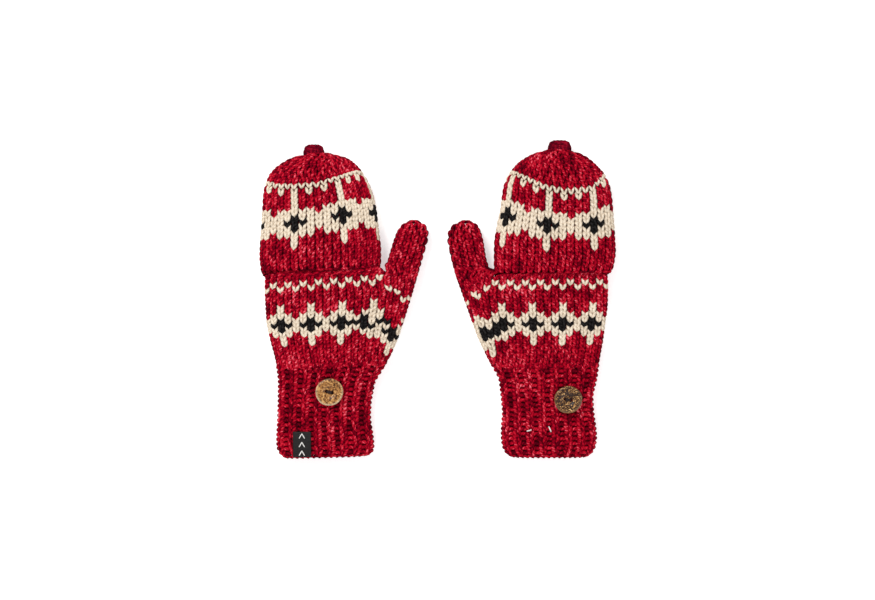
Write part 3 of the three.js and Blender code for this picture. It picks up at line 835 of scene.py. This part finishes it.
def knit_hood(name, hand):
    """The hood, from the sewn line and the lip on the palm side up to the tip."""
    seam_y, tilt = hand["seam_y"], hand["tilt"]
    tip_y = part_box(f"{name}_hood_crown")[1][1] / MM + 1.2
    lip_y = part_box(f"{name}_hood_lip")[0][1] / MM
    body = f"{name}_hood"
    nodes = [f"{name}_hood_crown", f"{name}_hood_lip"]
    hood = closed_tube(nodes, seam_y - 24, tip_y, hand, tip=5.0, radius=4)
    top_x, top_y = np.array(hand["top_line"]).T
    flower_x, flower_y = np.array(hand["flower_line"]).T
    pull_u, pull = np.array(hand["pull"]).T

    def row_line(v, x):
        """y of row v at x: 0 is the top cream row, and rows count up to the tip and down to the seam."""
        top, flower = np.interp(x, top_x, top_y), np.interp(x, flower_x, flower_y)
        seam = seam_y + tilt * x
        high = top + (flower - top) * v / FLOWER_ROW
        low = flower + (seam - flower) * (FLOWER_ROW - v) / (FLOWER_ROW - SEAM_ROW)
        t = np.clip(v / (len(DOME_ROWS) + 0.8), 0, 1)
        dome = top + (tip_y - top) * t * (1.45 - 0.45 * t)
        return np.where(v > 0, dome, np.where(v > FLOWER_ROW, high, low))

    def place(v, u, upper):
        v, u = np.broadcast_arrays(v, u)
        u = u + np.where(upper, np.interp(u, pull_u, pull), 0)
        y = row_line(v, 0.0)
        for _ in range(3):
            y = row_line(v, hood.at(y, u, upper)[0][..., 0])
        return hood.at(y, u, upper)

    rows, columns, u = grid_of(np.arange(0, 19), HOOD_COLUMNS)
    keep = (rows < 16) | (u > LIP_TURNS[0]) & (u < LIP_TURNS[1])
    rows, columns, u = rows[keep], columns[keep], u[keep]
    # The top cream row is a thin zigzag, because the rows above it crowd over it.
    radius = np.where(rows == 0, 0.78, 1.0) * LEG_RADIUS
    parts = [plain_stitches(place, 0.2 * (rows == 0) - rows, u, 1 / HOOD_COLUMNS, radius,
                            hood_colour(rows, columns, hand["flower"]), reach=np.where(rows == 0, 0.6, 1.0))]
    for i, count in enumerate(DOME_ROWS):
        parts.append(plain_stitches(place, np.full(count, i + 1.0), middles(count), 1 / count, LEG_RADIUS))
    back_u = middles(HOOD_COLUMNS)
    under = (back_u > LIP_TURNS[0]) & (back_u < LIP_TURNS[1])
    edge_v = np.where(under, LIP_EDGE_ROW, SEAM_ROW - 0.1)
    parts.append(purl_bumps(place, edge_v, back_u, 1 / HOOD_COLUMNS, 1.35, -1.9))
    knit_pieces(body, body, join(parts), hand, nodes)

    def mouth(u):
        """Where the lining ends: at the sewn line, and at the lip on the palm side."""
        back = seam_y + tilt * hood.at(seam_y, u)[0][..., 0] + 1.2
        return np.where((u > 0.52) & (u < 0.98), lip_y + 0.8, back)

    lining(f"{name}_hood_lining", body, hood, hand, mouth, tip_y - 1.0, cap=True)


def knit_finger(name, finger, hand):
    """A half-finger with a bumpy edge."""
    piece = f"{name}_{finger}_finger"
    low, high = (corner[1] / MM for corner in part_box(piece))
    # The CAD tube ends on a slant, so the last whole section is carried on.
    ys = np.arange(low - 6, high + 2.5, 1.0)
    whole = sections([piece], np.minimum(ys, high - 2.0), hand, 0)
    tube = Surface(ys, np.array([closed_sides(section) for section in whole]))
    rows, _, u = grid_of(np.arange(int((high - low + 3) / FINGER_ROW)), FINGER_COLUMNS)

    def place(v, w, upper):
        return tube.at(v * FINGER_ROW, w, upper)

    stitches = plain_stitches(place, (high - 2.2) / FINGER_ROW - rows, u, 1 / FINGER_COLUMNS, 1.35)
    edge_v = np.full(FINGER_COLUMNS, (high - 0.9) / FINGER_ROW)
    edge = purl_bumps(place, edge_v, middles(FINGER_COLUMNS), 1 / FINGER_COLUMNS, 1.15, -1.3)
    knit_pieces(piece, "mittens", join([stitches, edge]), hand, [piece])
    lining(f"{piece}_lining", "mittens", tube, hand, low - 6, high - 0.8, out=2.0, inside=2.9)


# ---- Loop, button and labels ----

# The strands that sew a loop down: (share of the loop's width, rise, fall at the ends, height).
LOOP_STITCHES = [(1.2, -2.4, 2.4, 1.5), (1.2, -2.4, 2.4, -1.5), (1.08, -0.2, 2.0, 0.7),
                 (1.08, -0.2, 2.0, -0.7)]
HOLE_RADIUS = 1.55
HOLE_OUT = 2.3  # from the button's middle to each hole's
# The button's outline, from the middle of its back to the middle of its dish: (share of its radius, share
# of its thickness).
BUTTON_PROFILE = [
    (0.0, 0.02), (0.82, 0.0), (0.93, 0.12), (0.985, 0.34), (1.0, 0.52), (0.985, 0.72), (0.94, 0.9),
    (0.88, 0.98), (0.8, 1.0), (0.62, 0.97), (0.48, 0.9), (0.4, 0.76), (0.34, 0.68), (0.2, 0.655), (0.0, 0.65),
]


def sweep(name, body, path, radius, material, sides, flat=1.0, replaces=()):
    """Strands along paths (n, m, 3) in the row frame, in mm."""
    path = np.asarray(path, dtype=float)
    path = path if path.ndim == 3 else path[None]
    up = np.broadcast_to(np.array([0.0, 0.0, 1.0]), path.shape)
    radii = np.broadcast_to(radius, path.shape[:2])
    tones = np.linspace(0.2, 0.8, len(path))
    obj = add_mesh(name, material=material, **strands(path, up, radii, tones, sides, flat))
    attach(obj, body)
    if replaces:
        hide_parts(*replaces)
    return obj


def tip_loop(name):
    """Three plump strands of yarn that twist round each other, in the arch of the CAD loop, and the stitches
    that sew it to the hood."""
    low, high = box_mm(f"{name}_tip_loop")
    thick = (high[2] - low[2]) / 2
    centre = (low[0] + high[0]) / 2
    half = (high[0] - low[0]) / 2 - thick
    base, crest, z = low[1] + thick, high[1] - thick, (low[2] + high[2]) / 2
    share = np.linspace(-1, 1, 40)
    root = base - LOOP_ROOT
    arch_x = centre + half * np.sin(share * math.pi / 2)
    arch = np.stack([arch_x, root + (crest - root) * (1 - share ** 4), np.full(40, z)], 1)
    tangent = np.gradient(arch, axis=0)
    tangent /= np.linalg.norm(tangent, axis=1, keepdims=True)
    side = np.cross(tangent, [0, 0, 1.0])
    paths = []
    for k in range(3):
        a = (share * math.pi * 2.6 + k * 2 * math.pi / 3)[:, None]
        paths.append(arch + thick * 0.44 * (np.cos(a) * side + np.sin(a) * np.array([0, 0, 1.0])))
    # The cord and its stitches are painted darker, as painted shade.
    sweep(f"{name}_tip_loop_cord", f"{name}_tip_loop", paths, thick * 0.7, SHADED_RED_YARN, 8,
          replaces=[f"{name}_tip_loop"])
    across = np.linspace(-1, 1, 15)
    sewn = []
    for wide, rise, fall, dz in LOOP_STITCHES:
        x, y = centre + half * wide * across, base + rise - fall * across ** 2
        sewn.append(np.stack([x, y, np.full(15, z + dz)], 1))
    sweep(f"{name}_loop_stitches", f"{name}_hood", sewn, thick * 0.62, SHADED_RED_YARN, 8)


def button(name):
    """The coconut disc, turned from a profile and drilled, and the thread that sews it on."""
    low, high = box_mm(f"{name}_button")
    cx, cy = (low[:2] + high[:2]) / 2
    radius, base, thick = (high[0] - low[0]) / 2, low[2], high[2] - low[2]
    axis = JOINTS[f"{name}_button_tilt"]["axis"]
    turn = math.atan2(axis[1], axis[0])
    count = 64
    angle = np.arange(count) * 2 * math.pi / count
    wobble = 1 + 0.012 * np.sin(2 * angle + 0.6) + 0.008 * np.sin(5 * angle)
    r, h = np.array(BUTTON_PROFILE).T
    out = radius * r[:, None] * wobble
    level = np.broadcast_to(base + thick * h[:, None], out.shape)
    rings = np.stack([cx + out * np.cos(angle), cy + out * np.sin(angle), level], 2)
    toward_edge = ease((r[:, None] - 0.84) / 0.12) * (0.55 - 0.45 * np.sin(angle))
    index = np.arange(out.size).reshape(out.shape)
    turned = np.roll(index, -1, 1)
    quads = np.stack([index[:-1], turned[:-1], turned[1:], index[1:]], -1).reshape(-1, 4)
    disc = add_mesh(f"{name}_coconut_button", rings, [quads], SHELLS[name], tone=toward_edge.ravel())
    for side in (-1, 1):
        x, y = cx + side * HOLE_OUT * math.cos(turn), cy + side * HOLE_OUT * math.sin(turn)
        bpy.ops.mesh.primitive_cylinder_add(
            vertices=20, radius=HOLE_RADIUS * MM, depth=10 * MM, location=(x * MM, y * MM, base * MM))
        drill = bpy.context.object
        cut = disc.modifiers.new("hole", "BOOLEAN")
        cut.operation, cut.solver, cut.object = "DIFFERENCE", "EXACT", drill
        bpy.context.view_layer.objects.active = disc
        bpy.ops.object.modifier_apply(modifier=cut.name)
        bpy.data.objects.remove(drill)
    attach(disc, f"{name}_button")
    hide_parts(f"{name}_button")

    # The thread: strands up through the holes and across the dish.
    along_axis = np.array([math.cos(turn), math.sin(turn), 0.0])
    across_axis = np.array([-math.sin(turn), math.cos(turn), 0.0])
    half_way = [(-HOLE_OUT, -2.6), (-HOLE_OUT, -0.4), (-2.25, 1.6), (-1.6, 2.7)]
    shape = curve_through(half_way + [(0.0, 3.0)] + [(-x, z) for x, z in reversed(half_way)], 37)
    middle = np.array([cx, cy, base]) + shape[:, :1] * along_axis + shape[:, 1:] * [0, 0, 1.0]
    paths = [middle + offset * across_axis for offset in (-0.7, 0.0, 0.7)]
    sweep(f"{name}_button_sewing", "mittens", paths, 0.45, THREAD, 8,
          replaces=[f"{name}_button_thread"])


def patch(name, node, surface, hand, material, lift, thick, slot):
    """A woven tab that lies on the cuff over its CAD node."""
    low, high = box_mm(node)
    xs = sorted((corner[0] - hand["x"]) * hand["sign"] for corner in (low, high))
    nx, ny = 14, 18
    x, y = np.meshgrid(np.linspace(*xs, nx), np.linspace(low[1], high[1], ny), indexing="ij")
    u = np.linspace(0.02, 0.48, 200)
    top = np.empty_like(x)
    for j in range(ny):
        ring, _ = surface.at(y[0, j], u)
        top[:, j] = np.interp(x[:, j], ring[:, 0], ring[:, 2])
    wave = 0.25 * np.sin(x * 0.61 + 1.0)
    upper = np.stack([x, y, top + lift + thick + wave], -1)
    lower = upper - np.array([0, 0, thick])
    points = np.stack([upper, lower])
    index = np.arange(points[..., 0].size).reshape(2, nx, ny)
    faces = []
    for face, flip in ((index[0], False), (index[1], True)):
        quads = np.stack([face[:-1, :-1], face[1:, :-1], face[1:, 1:], face[:-1, 1:]], -1).reshape(-1, 4)
        faces.append(quads[:, ::-1] if flip else quads)
    edges = ((index[:, 0], False), (index[:, -1], True), (index[:, :, 0], True), (index[:, :, -1], False))
    for edge, flip in edges:
        strip = np.stack([edge[0, :-1], edge[0, 1:], edge[1, 1:], edge[1, :-1]], -1)
        faces.append(strip[:, ::-1] if flip else strip)
    obj = add_mesh(name, points, faces, material, hand)
    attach(obj, "mittens")
    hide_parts(node)
    return upper


def woven_marks(name, top, hand):
    """Three plain chevrons in white thread down the middle of the tab."""
    heights = np.linspace(top[..., 1].min(), top[..., 1].max(), 7)[1:6:2]
    share = np.linspace(-1, 1, 13)
    x = hand["x"] + hand["sign"] * (top[..., 0].mean() + 2.3 * share)
    z = np.full(13, top[..., 2].max() + 0.1)
    paths = [np.stack([x, y + 2.0 - 4.0 * abs(share), z], 1) for y in heights]
    sweep(name, "mittens", paths, 0.42, WHITE_THREAD, 6, flat=0.5)


def tack_stitch(name, node, slanted):
    """A white hand stitch over its CAD node. slanted is half its lean in x, where it lies along y."""
    low, high = box_mm(node)
    long_x = high[0] - low[0] > high[1] - low[1]
    z = high[2] + 0.35
    middle = (low + high) / 2
    share = np.linspace(-1, 1, 9)
    half = np.array([(high[0] - low[0]) / 2, 0.5]) if long_x else np.array([slanted, (high[1] - low[1]) / 2])
    path = np.stack([middle[0] + half[0] * share, middle[1] + half[1] * share, z + 0.5 - 1.2 * share ** 2], 1)
    sweep(name, "mittens", path, 0.55, WHITE_THREAD, 8, replaces=[node])


def care_label(name, node):
    """The blank label inside the cuff, as a plain box."""
    low, high = box_mm(node)
    points = [[x, y, z] for x in (low[0], high[0]) for y in (low[1], high[1]) for z in (low[2], high[2])]
    quads = [[0, 1, 3, 2], [4, 6, 7, 5], [0, 4, 5, 1], [2, 3, 7, 6], [0, 2, 6, 4], [1, 5, 7, 3]]
    obj = add_mesh(name, points, [np.array(quads)], WHITE_TAPE, smooth_faces=False)
    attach(obj, "mittens")
    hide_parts(node)


# ---- Building the pair ----

for name, hand in HANDS.items():
    fold = JOINTS[f"{name}_hood_fold"]
    hand["x"], hand["seam_y"] = fold["pos_m"][0] / MM, fold["pos_m"][1] / MM
    hand["tilt"] = fold["axis"][1] / fold["axis"][0] * hand["sign"]
    palm, thumb, tube = hand_and_thumb(name, hand)
    knit_hand(name, hand, palm, tube)
    knit_thumb(name, hand, thumb)
    finger_web(name, hand, palm)
    knit_hood(name, hand)
    for finger in ("index", "middle", "ring", "little"):
        knit_finger(name, finger, hand)
    tip_loop(name)
    button(name)
    hand["tube"] = tube

left = HANDS["left"]
tab_top = patch("left_woven_tab", "left_woven_label", left["tube"], left, BLACK_TAPE, 0.5, 0.7, "woven_black")
woven_marks("left_woven_marks", tab_top, left)
tack_stitch("right_white_stitch_inner", "right_tack_stitch_inner", 0.0)
tack_stitch("right_white_stitch_outer", "right_tack_stitch_outer", -0.9)
care_label("right_care_tab", "right_care_label")

# ---- Studio ----

bpy.ops.mesh.primitive_plane_add(size=6, location=(0, 0, -0.0002))
floor = bpy.context.object
floor.name = "floor"
floor_material, tree, shader = nodes_of("pale_paper")
place = make(tree, "ShaderNodeTexCoord").outputs["Object"]
grain = make(tree, "ShaderNodeTexNoise", {"Vector": place, "Scale": 300.0}).outputs[0]
paper = ramp(tree, grain, [(0.3, (0.80, 0.80, 0.80)), (0.7, (0.83, 0.83, 0.83))])
tree.links.new(paper, shader.inputs["Base Color"])
shader.inputs["Roughness"].default_value = 0.95
shader.inputs["Specular IOR Level"].default_value = 0.1
shader.inputs["Emission Color"].default_value = (1, 1, 1, 1)
shader.inputs["Emission Strength"].default_value = 0.5
floor.data.materials.append(floor_material)


def area_light(name, location, size, power):
    """A square lamp that looks at the origin."""
    light = bpy.data.lights.new(name, "AREA")
    light.size, light.energy = size, power
    lamp = bpy.data.objects.new(name, light)
    lamp.location = location
    lamp.rotation_euler = (-Vector(location)).to_track_quat("-Z", "Y").to_euler()
    bpy.context.scene.collection.objects.link(lamp)


area_light("key", (-0.9, 1.1, 1.6), 0.9, 34)
area_light("fill", (1.3, -0.6, 1.8), 1.6, 16)
area_light("front", (-0.3, -1.6, 1.5), 1.4, 9)

world = bpy.data.worlds.new("studio")
bpy.context.scene.world = world
world.use_nodes = True
world.node_tree.nodes["Background"].inputs[0].default_value = (1, 1, 1, 1)
world.node_tree.nodes["Background"].inputs[1].default_value = 0.40

bpy.context.scene.view_settings.view_transform = "Standard"

camera_data = bpy.data.cameras.new("camera")
camera_data.lens = 100
camera_data.clip_end = 20
camera = bpy.data.objects.new("camera", camera_data)
camera.location = (-0.0002, -0.0007, 2.055)
bpy.context.scene.collection.objects.link(camera)
bpy.context.scene.camera = camera
